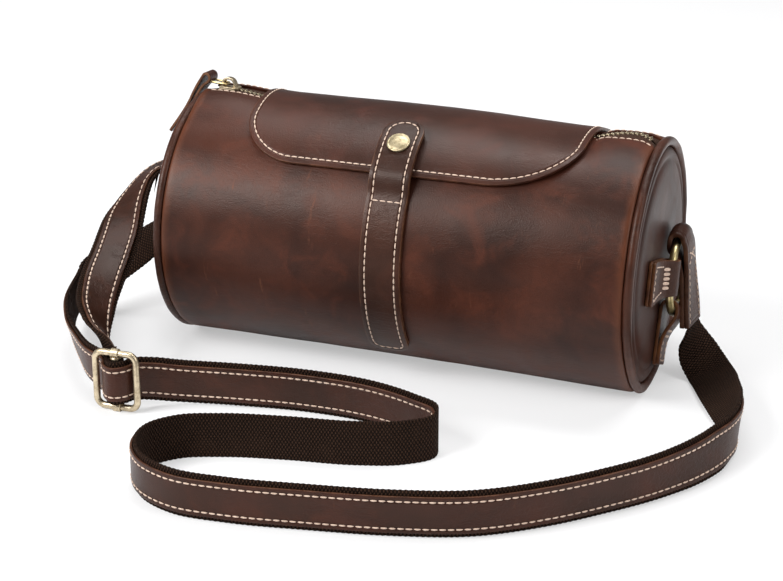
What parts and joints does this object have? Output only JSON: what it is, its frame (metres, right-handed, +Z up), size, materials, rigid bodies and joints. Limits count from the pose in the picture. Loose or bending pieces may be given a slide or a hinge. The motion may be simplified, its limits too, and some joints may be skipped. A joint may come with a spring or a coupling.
{
  "type": "crossbody bag",
  "caption": "Barrel-shaped leather crossbody bag with a zip along the top, a snap flap over it, ring hardware on the round ends and an adjustable shoulder strap.",
  "frame": {"origin": "middle of the flat that the barrel rests on, under the barrel's axis", "axes": "+X along the barrel towards its right end, -Y towards the front, +Z up"},
  "size_m": [0.3773, 0.2879, 0.1347],
  "materials": {
    "body_leather": "waxed, satin",
    "flap_leather": "waxed, satin",
    "chape_leather": "waxed, satin",
    "tab_leather": "waxed, satin",
    "strap_leather": "waxed, satin",
    "webbing": "coarse woven cotton",
    "zip_tape": "fine woven",
    "lining": "plain woven",
    "board": "pressed fibre",
    "brass": "antique, satin"
  },
  "bodies": {
    "bag": {"body_wrap": "body_leather", "body_stiffener": "board", "lining_wrap": "lining", "left_piping": "body_leather", "right_piping": "body_leather", "left_end_panel": "body_leather", "right_end_panel": "body_leather", "left_end_board": "board", "right_end_board": "board", "left_end_lining": "lining", "right_end_lining": "lining", "zip_tape_front": "zip_tape", "zip_tape_back": "zip_tape", "zip_teeth_front": "brass", "zip_teeth_back": "brass", "zip_top_stops": "brass", "zip_bottom_stop": "brass", "flap_seam": "flap_leather", "closing_strap": "flap_leather", "left_front_chape": "chape_leather", "right_front_chape": "chape_leather", "left_lower_chape": "chape_leather", "right_lower_chape": "chape_leather", "strap_end": "strap_leather", "strap_webbing": "webbing", "strap_facing": "strap_leather", "strap_bar_loop": "webbing", "adjuster_frame": "brass", "adjuster_bar": "brass"},
    "flap": {"flap": "flap_leather", "flap_lining": "lining", "snap_stud": "brass"},
    "tongue": {"closing_tongue": "flap_leather", "snap_cap": "brass", "snap_socket": "brass"},
    "slider": {"zip_slider": "brass"},
    "pull": {"zip_pull_link": "brass", "zip_pull_tab": "tab_leather"},
    "left_ring": {"left_ring": "brass"},
    "right_ring": {"right_ring": "brass"}
  },
  "joints": [
    {"name": "zip_slide", "type": "slide", "parent": "bag", "child": "slider", "axis": [1, 0, 0], "range_m": [0, 0.217], "deforming": ["zip_pull_tab", "zip_teeth_front", "zip_teeth_back"]},
    {"name": "pull_swing", "type": "hinge", "parent": "slider", "child": "pull", "pos_m": [-0.1138, 0.00809, 0.1299], "axis": [0, 0.9925, -0.1219], "range_deg": [0, 150]},
    {"name": "flap_lift", "type": "hinge", "parent": "bag", "child": "flap", "pos_m": [0.0015, 0.03174, 0.12369], "axis": [-1, 0, 0], "range_deg": [0, 60]},
    {"name": "tongue_open", "type": "hinge", "parent": "bag", "child": "tongue", "pos_m": [-0.0016, -0.05521, 0.10266], "axis": [1, 0, 0], "range_deg": [0, 150]},
    {"name": "left_ring_turn", "type": "hinge", "parent": "bag", "child": "left_ring", "pos_m": [-0.1346, 0.013, 0.0535], "axis": [1, 0, 0], "continuous": true},
    {"name": "right_ring_turn", "type": "hinge", "parent": "bag", "child": "right_ring", "pos_m": [0.1346, 0.013, 0.0535], "axis": [1, 0, 0], "continuous": true}
  ],
  "couplings": [
    {"joint": "tongue_open", "follows": "flap_lift", "ratio": 2.5}
  ]
}
